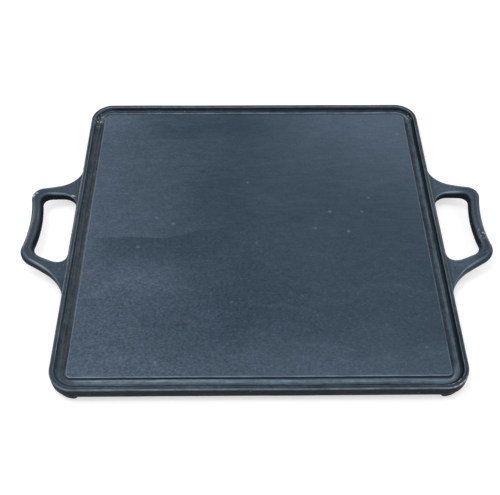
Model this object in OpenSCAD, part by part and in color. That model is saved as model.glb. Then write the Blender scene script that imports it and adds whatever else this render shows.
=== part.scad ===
// Square cast-iron griddle plate with a drip gutter, a low rim, two loop handles and four corner feet.
// Millimetres. X runs from handle to handle, Y from front to rear, Z up from the soles of the feet.

/* [Plate] */
// Width over the rim, from handle to handle
plate_w = 400; // [340:1:480]
// Depth over the rim, from front to rear
plate_d = 400; // [340:1:480]
// Radius of the rim's outer corners, seen from above
corner_r = 25; // [22:0.5:36]
// Thickness of the iron under the cooking face
plate_t = 6.5; // [5.5:0.1:9]
// Radius of the cooking face's corners, seen from above
face_corner_r = 5; // [3:0.5:10]
// Radius of the cooking face's rounded edge
face_edge_r = 0.8; // [0.3:0.1:1.4]
// Sideways lean of the step from the gutter up to the cooking face
step_lean = 0.4; // [0.1:0.1:1.5]
// Radius of the fillet at the foot of that step
step_fillet_r = 0.8; // [0.3:0.1:1.4]

/* [Rim] */
// Width of the rim's top, before its edges are rounded
rim_w = 4.2; // [3.6:0.1:7]
// Height of the rim's outer wall
rim_h = 12.4; // [11:0.1:18]
// Height of the rim's top above the cooking face
rim_rise = 2; // [1:0.1:3.5]
// Radius of the rim's outer top edge
rim_outer_r = 1.6; // [0.8:0.1:2]
// Radius of the rim's inner top edge
rim_inner_r = 1.2; // [0.6:0.1:1.6]
// Sideways lean of the rim's inner wall
rim_lean = 2; // [0.8:0.1:3.4]

/* [Gutter] */
// Width of the gutter's flat floor along the sides with the handles
gutter_side_w = 7; // [5:0.1:9]
// Width of the gutter's flat floor along the front and the rear
gutter_end_w = 5.6; // [4.5:0.1:8]
// Depth of the gutter below the cooking face
gutter_depth = 3; // [2:0.1:4]
// Radius of the fillet between the gutter's floor and the rim
gutter_fillet_r = 3; // [1:0.1:3.4]

/* [Feet] */
// Height of the feet below the rim
foot_h = 9; // [4:0.5:25]
// Setback of a foot's sole from the rim's outer wall
foot_setback = 3; // [2:0.1:6]
// Sideways taper of a foot's round outer side, from the rim to the sole
foot_taper = 1.5; // [0.2:0.1:1.9]
// Reach of a foot's sloping inner sides past the corner's centre, at the rim
foot_heel = 7; // [2:0.5:10]
// Gap between a foot's boss and the inside of the rim
boss_clearance = 0.3; // [0.1:0.1:1]

/* [Handles] */
// Reach of the grip's outer corners from the rim's wall, before rounding
handle_reach = 50.8; // [46:0.2:60]
// Distance between the grip's outer corners, before rounding
grip_span = 94.8; // [88:0.2:104]
// Distance between the arms' outer sides at the rim's wall, before the flares
root_span = 143.4; // [132:0.2:156]
// Radius of the flare between an arm's outer side and the rim's wall
flare_r = 38; // [24:0.5:44]
// Radius of the grip's outer corners
grip_corner_r = 16.8; // [12:0.2:20]
// Inward bow of the grip's outer side
grip_bow = 5.4; // [2:0.2:8]
// Reach of the finger gap's far corners from the rim's wall, before rounding
gap_reach = 37.8; // [33:0.2:41]
// Length of the finger gap along the rim's wall, before rounding
gap_near_span = 99.4; // [92:0.2:106]
// Length of the finger gap along the grip, before rounding
gap_far_span = 80.8; // [72:0.2:84]
// Radius of the finger gap's corners at the rim
gap_near_r = 11.3; // [6:0.1:13]
// Radius of the finger gap's corners at the grip
gap_far_r = 11.4; // [6:0.1:13]
// Inward bow of the grip's inner side
gap_bow = 4.2; // [2:0.2:6]
// Thickness of the lip on the rim's wall between the arms
lip_t = 1.8; // [0.6:0.1:3]
// Thickness of an arm at the rim's wall
root_t = 8.2; // [6:0.1:9.4]
// Thickness of the grip
grip_t = 11.4; // [9:0.1:13]
// Angle at which a handle rises away from the rim
handle_rise = 15.5; // [0:0.5:25]
// Height of an arm's underside above the rim's lower edge
root_lift = 0.2; // [0:0.1:0.6]

/* [Hidden] */
$fn = 96;

// Steps along each rounded edge and fillet of the plate's cross-section
edge_steps = 5;
// Steps along a handle's flares, corners and half grip, and sides round its section
flare_steps = 9;
corner_steps = 7;
grip_steps = 5;
section_sides = 16;

// Heights above the soles of the feet
rim_low = foot_h;
rim_top = rim_low + rim_h;
face_z = rim_top - rim_rise;
floor_z = face_z - gutter_depth;
under_z = face_z - plate_t;
arm_low = rim_low + root_lift;

// A direction of length one
function unit(v) = v / norm(v);

// A length rounded up to a tenth of a millimetre
function round_up(v) = ceil(v * 10) / 10;

// An angle brought between -180 and 180 degrees
function short_turn(a) = a > 180 ? a - 360 : a < -180 ? a + 360 : a;

// Points of the arc of radius r that rounds the corner p1 between p0 and p2
function corner_arc(p0, p1, p2, r, steps) =
    let (
        a = unit(p0 - p1),
        b = unit(p2 - p1),
        half = acos(a * b) / 2,
        centre = p1 + unit(a + b) * r / sin(half),
        first = p1 + a * r / tan(half) - centre,
        last = p1 + b * r / tan(half) - centre,
        start = atan2(first.y, first.x),
        turn = short_turn(atan2(last.y, last.x) - start)
    )
    [for (i = [0 : steps]) centre + r * [cos(start + turn * i / steps), sin(start + turn * i / steps)]];

// Cross-section of the rim: distance inwards from the outer wall, then height
rim_foot = rim_w + rim_lean;
rim_outer_arc = corner_arc([0, rim_low], [0, rim_top], [rim_w, rim_top], rim_outer_r, edge_steps);
rim_inner_arc = corner_arc([0, rim_top], [rim_w, rim_top], [rim_foot, floor_z], rim_inner_r, edge_steps);
gutter_arc = corner_arc(
    [rim_w, rim_top], [rim_foot, floor_z], [corner_r, floor_z], gutter_fillet_r, edge_steps
);
rim_bar_w = round_up(gutter_arc[edge_steps].x);
rim_section = concat(
    [[0, rim_low]], rim_outer_arc, rim_inner_arc, gutter_arc, [[rim_bar_w, floor_z], [rim_bar_w, rim_low]]
);

// Cross-section of the step up to the cooking face: distance inwards from the gutter's floor, then height
step_angle = 90 + atan(step_lean / gutter_depth);
step_foot = round_up(step_fillet_r / tan(step_angle / 2));
step_head = step_foot + step_lean;
step_corner_r = step_head + face_corner_r;
step_arc = corner_arc([0, floor_z], [step_foot, floor_z], [step_head, face_z], step_fillet_r, edge_steps);
face_arc = corner_arc(
    [step_foot, floor_z], [step_head, face_z], [step_corner_r, face_z], face_edge_r, edge_steps
);
face_start = step_head + face_edge_r;
step_in = (face_start + step_corner_r) / 2;
step_section = concat(
    [[0, under_z], [0, floor_z]], step_arc, face_arc, [[step_in, face_z], [step_in, under_z]]
);

// Plan of the raised plate at the gutter's floor
raised_w = plate_w - 2 * (rim_bar_w + gutter_side_w);
raised_d = plate_d - 2 * (rim_bar_w + gutter_end_w);

// One half of a handle's side seen from above: root at the wall, corner, then half of the bowed grip
function handle_side(wall, along_wall, corner, root_r, bend_r, bow) =
    let (
        lean = 2 * bow / (corner.y + bend_r),
        root_arc = corner_arc(along_wall, wall, corner, root_r, flare_steps),
        bend = corner_arc(wall, corner, corner - [lean, 1], bend_r, corner_steps),
        bend_end = bend[corner_steps],
        middle = corner.x - bow
    )
    concat(root_arc, bend, [
        for (i = [1 : grip_steps])
            let (share = 1 - i / grip_steps)
            [middle + (bend_end.x - middle) * share * share, bend_end.y * share]
    ]);

// The half side with its mirror image, from the rear root to the front root
function both_halves(half) =
    concat(half, [for (i = [len(half) - 2 : -1 : 0]) [half[i].x, -half[i].y]]);

outer_half = handle_side(
    [0, root_span / 2], [0, root_span], [handle_reach, grip_span / 2],
    flare_r, grip_corner_r, grip_bow
);
gap_half = handle_side(
    [lip_t, gap_near_span / 2], [lip_t, 0], [gap_reach, gap_far_span / 2],
    gap_near_r, gap_far_r, gap_bow
);
lip_half = gap_half[0].y;

// The root's first section lies flat on the rim's wall
outer_side = both_halves(concat([outer_half[0]], outer_half));
gap_side = both_halves(concat([[0, lip_half]], gap_half));

// Half the thickness of a handle at a distance from the rim's wall
function half_thickness(reach) = (root_t + (grip_t - root_t) * min(reach / gap_reach, 1)) / 2;

// One section across a handle: straight top and bottom with round ends, on the handle's slope
function handle_section(outer, inner) =
    let (
        middle = (outer + inner) / 2,
        half_w = norm(outer - inner) / 2,
        half_t = min(half_thickness(middle.x), half_w),
        across = unit(outer - inner)
    )
    [
        for (k = [0 : section_sides - 1])
            let (
                angle = 360 * (k + 0.5) / section_sides,
                end = cos(angle) > 0 ? 1 : -1,
                point = middle + across * (end * (half_w - half_t) + half_t * cos(angle)),
                axis_z = arm_low + root_t / 2 + point.x * tan(handle_rise)
            )
            [plate_w / 2 + point.x, point.y, axis_z + half_t * sin(angle)]
    ];

stations = len(outer_side);
handle_points = [for (i = [0 : stations - 1]) each handle_section(outer_side[i], gap_side[i])];
// Each side panel between two sections is two triangles
handle_panels = [
    for (i = [0 : stations - 2], k = [0 : section_sides - 1])
        let (
            next = (k + 1) % section_sides,
            here = i * section_sides,
            there = here + section_sides
        )
        each [[here + k, here + next, there + next], [here + k, there + next, there + k]]
];
handle_ends = [
    [for (k = [section_sides - 1 : -1 : 0]) k],
    [for (k = [0 : section_sides - 1]) (stations - 1) * section_sides + k],
];

// Sweeps a cross-section round a plan of width w and depth d: four straight runs and four quarter turns
module around(w, d, turn_r) {
    for (side = [0 : 3]) {
        run = side % 2 == 0 ? w : d;
        across = side % 2 == 0 ? d : w;
        rotate(90 * side) {
            translate([turn_r - run / 2, -across / 2, 0])
                rotate([90, 0, 90])
                    linear_extrude(run - 2 * turn_r)
                        children();
            translate([run / 2 - turn_r, turn_r - across / 2, 0])
                rotate(-90)
                    rotate_extrude(angle = 90)
                        translate([turn_r, 0])
                            mirror([1, 0])
                                children();
        }
    }
}

// A slab with round corners, standing on the height low
module slab(w, d, turn_r, low, high) {
    translate([0, 0, low])
        linear_extrude(high - low) {
            square([w - 2 * turn_r, d], center = true);
            square([w, d - 2 * turn_r], center = true);
            for (x = [-1, 1], y = [-1, 1])
                translate([x * (w / 2 - turn_r), y * (d / 2 - turn_r)])
                    circle(turn_r);
        }
}

module cooking_plate() {
    color("#3f4750") {
        around(raised_w, raised_d, step_corner_r)
            polygon(step_section);
        slab(
            raised_w - 2 * face_start, raised_d - 2 * face_start,
            step_corner_r - face_start, under_z, face_z
        );
    }
}

module drip_gutter() {
    cut_past = 1;
    color("#363d44")
        difference() {
            slab(plate_w - 2 * rim_bar_w, plate_d - 2 * rim_bar_w, corner_r - rim_bar_w, under_z, floor_z);
            slab(raised_w, raised_d, step_corner_r, under_z - cut_past, floor_z + cut_past);
        }
}

// The lip on each side wall closes the finger gap between a handle's two arms
module rim() {
    color("#2c3238") {
        around(plate_w, plate_d, corner_r)
            polygon(rim_section);
        for (side = [0, 180])
            rotate(side)
                translate([plate_w / 2, -lip_half, arm_low])
                    cube([lip_t, 2 * lip_half, root_t]);
    }
}

module right_handle() {
    color("#2c3238")
        polyhedron(handle_points, concat(handle_panels, handle_ends), convexity = 6);
}

module left_handle() {
    mirror([1, 0, 0])
        right_handle();
}

// A foot under the rear right corner, turned round to the others
module corner_foot(side_x, side_y, turn) {
    sole_r = corner_r - foot_setback;
    shank_r = sole_r + foot_taper;
    boss_r = corner_r - rim_bar_w - boss_clearance;
    slope = atan(foot_heel / foot_h);
    cut = 4 * corner_r;
    color("#24292e")
        translate([side_x * (plate_w / 2 - corner_r), side_y * (plate_d / 2 - corner_r), 0])
            rotate(turn)
                difference() {
                    rotate_extrude()
                        polygon([
                            [0, 0], [sole_r, 0], [shank_r, rim_low],
                            [boss_r, rim_low], [boss_r, under_z], [0, under_z],
                        ]);
                    rotate([0, -slope, 0])
                        translate([-cut, -cut / 2, -cut / 2])
                            cube(cut);
                    rotate([slope, 0, 0])
                        translate([-cut / 2, -cut, -cut / 2])
                            cube(cut);
                }
}

module front_left_foot() {
    corner_foot(-1, -1, 180);
}

module front_right_foot() {
    corner_foot(1, -1, 270);
}

module rear_left_foot() {
    corner_foot(-1, 1, 90);
}

module rear_right_foot() {
    corner_foot(1, 1, 0);
}

cooking_plate();
drip_gutter();
rim();
left_handle();
right_handle();
front_left_foot();
front_right_foot();
rear_left_foot();
rear_right_foot();
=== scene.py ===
import math

import bmesh
import bpy
from bpy.props import FloatProperty, FloatVectorProperty, PointerProperty
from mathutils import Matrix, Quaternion, Vector, noise


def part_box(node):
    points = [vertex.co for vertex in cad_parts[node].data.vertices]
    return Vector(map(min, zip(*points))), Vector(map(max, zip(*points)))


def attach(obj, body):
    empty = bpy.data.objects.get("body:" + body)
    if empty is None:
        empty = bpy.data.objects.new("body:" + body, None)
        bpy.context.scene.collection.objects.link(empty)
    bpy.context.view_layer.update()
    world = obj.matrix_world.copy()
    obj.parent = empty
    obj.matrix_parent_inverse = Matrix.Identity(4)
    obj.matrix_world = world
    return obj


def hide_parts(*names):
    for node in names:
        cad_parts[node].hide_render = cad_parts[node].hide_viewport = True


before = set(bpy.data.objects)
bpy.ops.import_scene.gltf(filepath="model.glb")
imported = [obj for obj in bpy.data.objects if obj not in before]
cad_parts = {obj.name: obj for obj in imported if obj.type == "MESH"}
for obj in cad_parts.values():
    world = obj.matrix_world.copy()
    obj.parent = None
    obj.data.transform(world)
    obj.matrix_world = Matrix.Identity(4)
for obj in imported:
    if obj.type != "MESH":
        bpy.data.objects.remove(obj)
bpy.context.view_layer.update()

bl_info = {
    "name": "Camp griddle plate",
    "version": (1, 0, 0),
    "blender": (4, 5, 0),
    "location": "View3D > Sidebar > Griddle",
    "description": "Makes a square cast-iron griddle plate with a drip gutter, a rim, loop handles and feet",
    "category": "Add Mesh",
}

BODY = "root"
MM = 0.001

# Places and widths that come from the frame, in metres
RIM_LOW, RIM_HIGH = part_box("rim")
PLATE_LOW, PLATE_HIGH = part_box("cooking_plate")
GUTTER_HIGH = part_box("drip_gutter")[1]
LOOP_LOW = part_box("right_handle")[0]
FOOT_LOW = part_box("rear_right_foot")[0]
WALL_X = LOOP_LOW.x
WALL_Y = RIM_HIGH.y
RIM_TOP = RIM_HIGH.z
RIM_FOOT = RIM_LOW.z
FACE_Z = PLATE_HIGH.z
UNDER_Z = PLATE_LOW.z
FLOOR_Z = GUTTER_HIGH.z
RIM_BAR = WALL_Y - GUTTER_HIGH.y
RAISED_X = PLATE_HIGH.x
RAISED_Y = PLATE_HIGH.y
GUTTER_WIDTH = (WALL_X - RAISED_X + WALL_Y - RAISED_Y) / 2 - RIM_BAR
SOLE_Z = FOOT_LOW.z

# How finely the meshes are divided
RUN_STEPS = 48
CORNER_STEPS = 16
EDGE_STEPS = 8
WALL_STEPS = 24
DISH_STEPS = 8
FACE_RINGS = 24
UNDER_RINGS = 12
FLARE_STEPS = 18
ARM_STEPS = 6
BEND_STEPS = 14
GRIP_STEPS = 14
ROUND_STEPS = 8
WEB_STEPS = 6
FOOT_SIDES = 72
FOOT_STEPS = 4

# Angle from which an edge is drawn sharp
SHARP_ANGLE = math.radians(50)

# Seed of the castings' unevenness, which gives the same shapes each run
CASTING_SEED = 1

# Names of the point attributes that the materials read
EDGE = "edge"
HOLLOW = "hollow"
ACROSS = "across"

# Value of across on points that lie away from the gutter
OUTSIDE = -2.0

# Slope of a parabola at its ends, for a depth and a width of one
PARABOLA = 4

BLACK = (0.0, 0.0, 0.0, 1.0)
WHITE = (1.0, 1.0, 1.0, 1.0)


def size(name, description, default):
    """A length that a user may change, in metres."""
    return FloatProperty(
        name=name, description=description, default=default, min=0.0, unit="LENGTH", precision=5
    )


def colour(name, description, default):
    """A colour that a user may change, in linear values."""
    return FloatVectorProperty(
        name=name, description=description, default=default, min=0.0, max=1.0, size=3, subtype="COLOR"
    )


class PlateSizes(bpy.types.PropertyGroup):
    """Sizes of the plate, its gutter and its rim."""

    corner_radius: size("Corner radius", "Radius of the rim's outer corners from above", 25 * MM)
    raised_corner: size(
        "Raised corner", "Radius of the raised plate's corners at the gutter's floor", 6.2 * MM
    )
    rim_width: size("Rim width", "Width of the rim's top before its edges are rounded", 4.2 * MM)
    rim_outer_edge: size("Rim outer edge", "Radius of the rim's outer top edge", 1.5 * MM)
    rim_inner_edge: size("Rim inner edge", "Radius of the rim's inner top edge", 1.1 * MM)
    rim_lower_edge: size("Rim lower edge", "Radius of the rim's lower edges", 0.9 * MM)
    gutter_dish: size("Gutter dish", "Depth of the hollow in the gutter's floor", 0.55 * MM)
    gutter_fillet: size("Gutter fillet", "Length of the fillet from the rim to the gutter's floor", 2.4 * MM)
    step_fillet: size("Step fillet", "Length of the fillet at the foot of the cooking face's step", 0.45 * MM)
    step_lean: size("Step lean", "Sideways lean of the cooking face's step", 0.25 * MM)
    face_edge: size("Face edge", "Radius of the cooking face's edge", 0.8 * MM)
    lip: size("Lip", "Thickness of the lip on the rim between a handle's arms", 1.8 * MM)
    lip_half: size("Half lip", "Half the length of that lip, into the handle's roots", 48 * MM)
    wobble: size("Casting wobble", "Unevenness of the cast surfaces", 0.22 * MM)


class HandleSizes(bpy.types.PropertyGroup):
    """Sizes of the two loop handles."""

    reach: size("Reach", "Reach of the grip's outer corners from the rim before rounding", 50.8 * MM)
    grip_span: size("Grip span", "Distance between the grip's outer corners before rounding", 94.8 * MM)
    root_span: size("Root span", "Distance between the arms' outer sides at the rim", 143.4 * MM)
    flare: size("Flare", "Radius of the flare from an arm to the rim", 38 * MM)
    grip_corner: size("Grip corner", "Radius of the grip's outer corners", 16.8 * MM)
    grip_bow: size("Grip bow", "Inward bow of the grip's outer side", 5.4 * MM)
    gap_reach: size("Gap reach", "Reach of the finger gap's far corners before rounding", 37.8 * MM)
    gap_near: size("Gap near span", "Length of the finger gap along the rim", 99.4 * MM)
    gap_far: size("Gap far span", "Length of the finger gap along the grip", 80.8 * MM)
    gap_near_corner: size("Gap near corner", "Radius of the finger gap's corners at the rim", 11.3 * MM)
    gap_far_corner: size("Gap far corner", "Radius of the finger gap's corners at the grip", 11.4 * MM)
    gap_bow: size("Gap bow", "Inward bow of the grip's inner side", 4.2 * MM)
    root_thickness: size("Root thickness", "Thickness of an arm at the rim", 8.2 * MM)
    grip_thickness: size("Grip thickness", "Thickness of the grip", 11.4 * MM)
    root_lift: size("Root lift", "Height of an arm's underside above the rim's lower edge", 0.2 * MM)
    root_fillet: size("Root fillet", "Radius of the fillet between an arm and the rim", 1.7 * MM)
    rise: FloatProperty(
        name="Rise", description="Angle at which a handle rises", default=math.radians(15.5), subtype="ANGLE"
    )


class FootSizes(bpy.types.PropertyGroup):
    """Sizes of the four corner feet."""

    setback: size("Setback", "Setback of the sole from the rim's wall", 3 * MM)
    taper: size("Taper", "Sideways taper of the round outer side", 1.5 * MM)
    heel: size("Heel", "Reach of the sloping inner sides past the corner's centre", 7 * MM)
    boss_gap: size("Boss gap", "Gap between the foot's boss and the rim", 0.3 * MM)
    sole_edge: size("Sole edge", "Radius of the sole's edge", 1.2 * MM)


class FinishColours(bpy.types.PropertyGroup):
    """Colours of the seasoned and the cast finish, some of which also stand for painted light and shade."""

    # The face colours go from dark to light with the seasoning's thickness and with painted reflections of
    # the room.
    face_dark: colour("Face, dark", "Cooking face where the seasoning is thick", (0.030, 0.052, 0.077))
    face_light: colour("Face, light", "Cooking face where the seasoning is thin", (0.080, 0.112, 0.156))
    skin: colour("Cast skin", "Upper surfaces of the rim, gutter and handles", (0.047, 0.070, 0.098))
    # The pale edge colour is partly metal polished by handling and partly a painted highlight.
    worn: colour("Worn and highlighted edge", "Edges that handling has polished", (0.182, 0.258, 0.325))
    # The dark side colour is partly fire blackening and partly painted shade.
    soot: colour("Soot", "Side walls and undersides that the fire has blackened", (0.005, 0.010, 0.014))
    # The brown is partly rust and partly a painted reflection of the brown ground near the walls' foot.
    rust: colour("Rust", "Brown tint in the soot of the side walls and the arms", (0.044, 0.036, 0.028))
    # The dark crease colour is partly burnt deposits and partly painted shade.
    grease: colour("Grease", "Burnt grease in the gutter's corners", (0.008, 0.017, 0.029))
    fat: colour("Fat", "Dried fat on the gutter's floor", (0.058, 0.064, 0.067))
    tarnish: colour("Tarnish", "Dull grey on top of the rim", (0.048, 0.055, 0.060))
    # This bright colour is a painted glint.
    glint: colour("Glint", "Bare bright metal in nicks and scuffs", (0.46, 0.52, 0.55))
    # This pale colour is a painted sheen on the gutter's floor.
    ash: colour("Ash", "Dry ash on the gutter's floor", (0.154, 0.216, 0.280))


class StageSettings(bpy.types.PropertyGroup):
    """Floor, light and camera."""

    floor: colour("Floor", "Colour of the pale floor", (0.62, 0.62, 0.62))
    lamp_power: FloatProperty(
        name="Lamp power", description="Power of the large lamp above the plate",
        default=11.0, min=0.0, unit="POWER",
    )
    sky: FloatProperty(
        name="Room light", description="Strength of the light from the room above", default=0.42, min=0.0
    )


def corner_arc(before, corner, after, radius, steps):
    """Points of the arc that rounds a corner between two other points."""
    first = (before - corner).normalized()
    last = (after - corner).normalized()
    half = first.angle(last) / 2
    centre = corner + (first + last).normalized() * radius / math.sin(half)
    start = corner + first * radius / math.tan(half) - centre
    end = corner + last * radius / math.tan(half) - centre
    turn = start.angle_signed(end)
    points = []
    for step in range(steps + 1):
        angle = math.atan2(start.y, start.x) - turn * step / steps
        points.append(centre + radius * Vector((math.cos(angle), math.sin(angle))))
    return points


def spread(first, last, count):
    """Values from first to last in equal steps, with both ends."""
    return [first + (last - first) * step / count for step in range(count + 1)]


def smooth(low, high, value):
    """Zero below low, one above high, with a soft change between."""
    share = min(max((value - low) / (high - low), 0.0), 1.0)
    return share * share * (3 - 2 * share)


def cast_wobble(point, amount):
    """Moves a point by the slow and the fine unevenness of a sand casting."""
    slow_waves = 17.0
    fine_waves = 75.0
    fine_share = 0.3
    slow = noise.noise_vector(point * slow_waves)
    fine = noise.noise_vector(point * fine_waves)
    return point + (slow + fine * fine_share) * amount


def rounded_outline(half_x, half_y, radius):
    """Points of a rectangle with round corners, and the same number for any size."""
    far_x = half_x - radius
    far_y = half_y - radius
    corners = ((far_x, -far_y), (far_x, far_y), (-far_x, far_y), (-far_x, -far_y))
    points = []
    for side, (x, y) in enumerate(corners):
        turn = math.pi / 2 * (side - 1)
        for step in range(CORNER_STEPS):
            angle = turn + math.pi / 2 * step / CORNER_STEPS
            points.append(Vector((x + radius * math.cos(angle), y + radius * math.sin(angle), 0)))
        ahead = turn + math.pi / 2
        out = Vector((radius * math.cos(ahead), radius * math.sin(ahead), 0))
        first = Vector((x, y, 0)) + out
        last = Vector((*corners[(side + 1) % 4], 0)) + out
        for step in range(RUN_STEPS):
            points.append(first.lerp(last, step / RUN_STEPS))
    return points


def rim_outline(inset):
    """Points of the rim's outline at a distance inwards from its wall."""
    sizes = bpy.context.scene.griddle_plate
    return rounded_outline(WALL_X - inset, WALL_Y - inset, sizes.corner_radius - inset)


def raised_outline(inset):
    """Points of the raised plate's outline at a distance inwards from the gutter's floor."""
    sizes = bpy.context.scene.griddle_plate
    smallest = 3 * MM
    radius = sizes.raised_corner - inset
    if radius < smallest:
        deep = sizes.raised_corner - smallest
        radius = smallest * (RAISED_Y - inset) / (RAISED_Y - deep)
    return rounded_outline(RAISED_X - inset, RAISED_Y - inset, radius)


def level(outline, height):
    """The points of an outline at a height."""
    return [Vector((point.x, point.y, height)) for point in outline]


class Skin:
    """Collects rings of points, and makes one closed mesh of them."""

    def __init__(self):
        self.rings = []
        self.marks = []

    def ring(self, points, edge=0.0, hollow=0.0, across=OUTSIDE):
        """Adds a ring. A mark is one value for the ring, or a list with one for each point."""
        count = len(points)
        self.rings.append([Vector(point) for point in points])
        marks = []
        for mark in (edge, hollow, across):
            marks.append(list(mark) if isinstance(mark, (list, tuple)) else [mark] * count)
        self.marks.append(list(zip(*marks)))

    def mesh(self, node, closed, wobble, steady_below=None):
        """A mesh of the rings: closed joins the last ring to the first, or else the end rings are capped."""
        noise.seed_set(CASTING_SEED)
        work = bmesh.new()
        layers = [work.verts.layers.float.new(mark) for mark in (EDGE, HOLLOW, ACROSS)]
        rows = []
        for points, marks in zip(self.rings, self.marks):
            row = []
            for point, values in zip(points, marks):
                amount = wobble
                if steady_below is not None:
                    amount = wobble * smooth(0, steady_below, point.z - SOLE_Z)
                vert = work.verts.new(cast_wobble(point, amount))
                for layer, value in zip(layers, values):
                    vert[layer] = value
                row.append(vert)
            rows.append(row)
        pairs = list(zip(rows, rows[1:]))
        if closed:
            pairs.append((rows[-1], rows[0]))
        for here, there in pairs:
            count = len(here)
            for index in range(count):
                ahead = (index + 1) % count
                work.faces.new((here[index], here[ahead], there[ahead], there[index]))
        if not closed:
            work.faces.new(rows[0])
            work.faces.new(rows[-1])
        bmesh.ops.recalc_face_normals(work, faces=work.faces)
        for face in work.faces:
            face.smooth = True
        mesh = bpy.data.meshes.new(node + "_cast")
        work.to_mesh(mesh)
        work.free()
        mesh.set_sharp_from_angle(angle=SHARP_ANGLE)
        return mesh


# Shader helpers

class Value:
    """A node's output that takes plain arithmetic: each sum adds a node to its tree."""

    kind = "ShaderNodeMath"

    def __init__(self, tree, socket):
        self.tree = tree
        self.socket = socket

    @classmethod
    def of(cls, tree, kind, inputs=None, output=0, **settings):
        """An output of a new node."""
        return cls(tree, add(tree, kind, inputs, **settings).outputs[output])

    def math(self, operation, *terms):
        """The result of a new node on some terms, which are values or other outputs."""
        return self.of(self.tree, self.kind, dict(enumerate(terms)), operation=operation)

    def __add__(self, other):
        return self.math("ADD", self, other)

    def __sub__(self, other):
        return self.math("SUBTRACT", self, other)

    def __rsub__(self, other):
        return self.math("SUBTRACT", other, self)

    def __mul__(self, other):
        return self.math("MULTIPLY", self, other)

    def __abs__(self):
        return self.math("ABSOLUTE", self)

    def clamped(self):
        """The same output, which its node now keeps between nought and one."""
        self.socket.node.use_clamp = True
        return self

    def ramp(self, low, high, to_low=0.0, to_high=1.0):
        """The value brought softly from one range to another."""
        inputs = {"Value": self, "From Min": low, "From Max": high, "To Min": to_low, "To Max": to_high}
        return Value.of(self.tree, "ShaderNodeMapRange", inputs, interpolation_type="SMOOTHSTEP")


class Place(Value):
    """A node's vector output, such as a place or a direction."""

    kind = "ShaderNodeVectorMath"

    def parts(self):
        """The values along X, Y and Z."""
        made = add(self.tree, "ShaderNodeSeparateXYZ", {"Vector": self})
        return [Value(self.tree, socket) for socket in made.outputs]

    def length(self):
        """The distance from nought."""
        return Value.of(self.tree, self.kind, {0: self}, "Value", operation="LENGTH")

    def scaled(self, amount):
        """The vector times one value."""
        return self.of(self.tree, self.kind, {0: self, "Scale": amount}, operation="SCALE")

    def turned(self, degrees, scale):
        """The place turned about Z and scaled, for a texture with a grain."""
        inputs = {"Vector": self, "Rotation": (0.0, 0.0, math.radians(degrees)), "Scale": scale}
        return self.of(self.tree, "ShaderNodeMapping", inputs)

    def cloud(self, scale, detail=3.0, roughness=0.5):
        """A noise texture's value."""
        inputs = {"Vector": self, "Scale": scale, "Detail": detail, "Roughness": roughness}
        return Value.of(self.tree, "ShaderNodeTexNoise", inputs, "Fac")

    def swirl(self, scale, detail):
        """A push in a random direction, which is nought on average."""
        middle = (0.5, 0.5, 0.5)
        inputs = {"Vector": self, "Scale": scale, "Detail": detail}
        return self.of(self.tree, "ShaderNodeTexNoise", inputs, "Color") - middle


def connect(tree, value, socket):
    """Gives a node's input a plain value or another node's output."""
    if isinstance(value, Value):
        tree.links.new(value.socket, socket)
    else:
        socket.default_value = value


def add(tree, kind, inputs=None, **settings):
    """A new node with its settings and its inputs."""
    made = tree.nodes.new(kind)
    for key, value in settings.items():
        setattr(made, key, value)
    for key, value in (inputs or {}).items():
        connect(tree, value, made.inputs[key])
    return made


def outputs_of(tree, node):
    """A node's outputs by name."""
    return {socket.name: Value(tree, socket) for socket in node.outputs}


def larger(first, *others):
    """The largest of some values, the first of which is a node's output."""
    for other in others:
        first = first.math("MAXIMUM", first, other)
    return first


# Numbers of a Mix node's factor, its two inputs and its output, whose names repeat
VALUE_SOCKETS = (0, 2, 3, 0)
COLOUR_SOCKETS = (0, 6, 7, 2)


def fade(factor, first, second):
    """A value that goes from the first to the second as the factor rises to one."""
    *sockets, output = VALUE_SOCKETS
    inputs = dict(zip(sockets, (factor, first, second)))
    return Value.of(factor.tree, "ShaderNodeMix", inputs, output, data_type="FLOAT")


def blend(tree, factor, first, second, mode="MIX"):
    """Two colours mixed by a factor."""
    *sockets, output = COLOUR_SOCKETS
    inputs = dict(zip(sockets, (factor, first, second)))
    return Value.of(tree, "ShaderNodeMix", inputs, output, data_type="RGBA", blend_type=mode)


def toned(tree, base, tone):
    """A colour made lighter or darker by a tone about one."""
    grey = Value.of(tree, "ShaderNodeCombineColor", dict.fromkeys(("Red", "Green", "Blue"), tone))
    return blend(tree, 1.0, base, grey, "MULTIPLY")


def combined(tree, x, y, z):
    """A vector of three values."""
    return Place.of(tree, "ShaderNodeCombineXYZ", {"X": x, "Y": y, "Z": z})


def object_place(tree):
    """The place on the piece, in metres."""
    return Place.of(tree, "ShaderNodeTexCoord", output="Object")


def facing(tree):
    """The direction in which the surface faces."""
    return Place.of(tree, "ShaderNodeTexCoord", output="Normal")


def mark(tree, name):
    """A point attribute's value."""
    return Value.of(tree, "ShaderNodeAttribute", output="Fac", attribute_name=name)


def opaque(value):
    """A colour with full opacity."""
    return (value[0], value[1], value[2], 1.0)


def finish_colours():
    """The finish colours by name."""
    colours = bpy.context.scene.griddle_colours
    return {key: opaque(getattr(colours, key)) for key in FinishColours.__annotations__}


# Effects that the materials use, each a node group

def new_group(name, inputs):
    """An empty node group, and its inputs, each a colour or a value as its default is."""
    tree = bpy.data.node_groups.new(name, "ShaderNodeTree")
    for socket, default in inputs.items():
        kind = "NodeSocketColor" if isinstance(default, tuple) else "NodeSocketFloat"
        tree.interface.new_socket(socket, in_out="INPUT", socket_type=kind).default_value = default
    return tree, outputs_of(tree, add(tree, "NodeGroupInput"))


def put_out(tree, **results):
    """Gives a node group its outputs: Colour is a colour, and the others are values."""
    for name in results:
        kind = "NodeSocketColor" if name == "Colour" else "NodeSocketFloat"
        tree.interface.new_socket(name, in_out="OUTPUT", socket_type=kind)
    add(tree, "NodeGroupOutput", results)
    return tree


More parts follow.
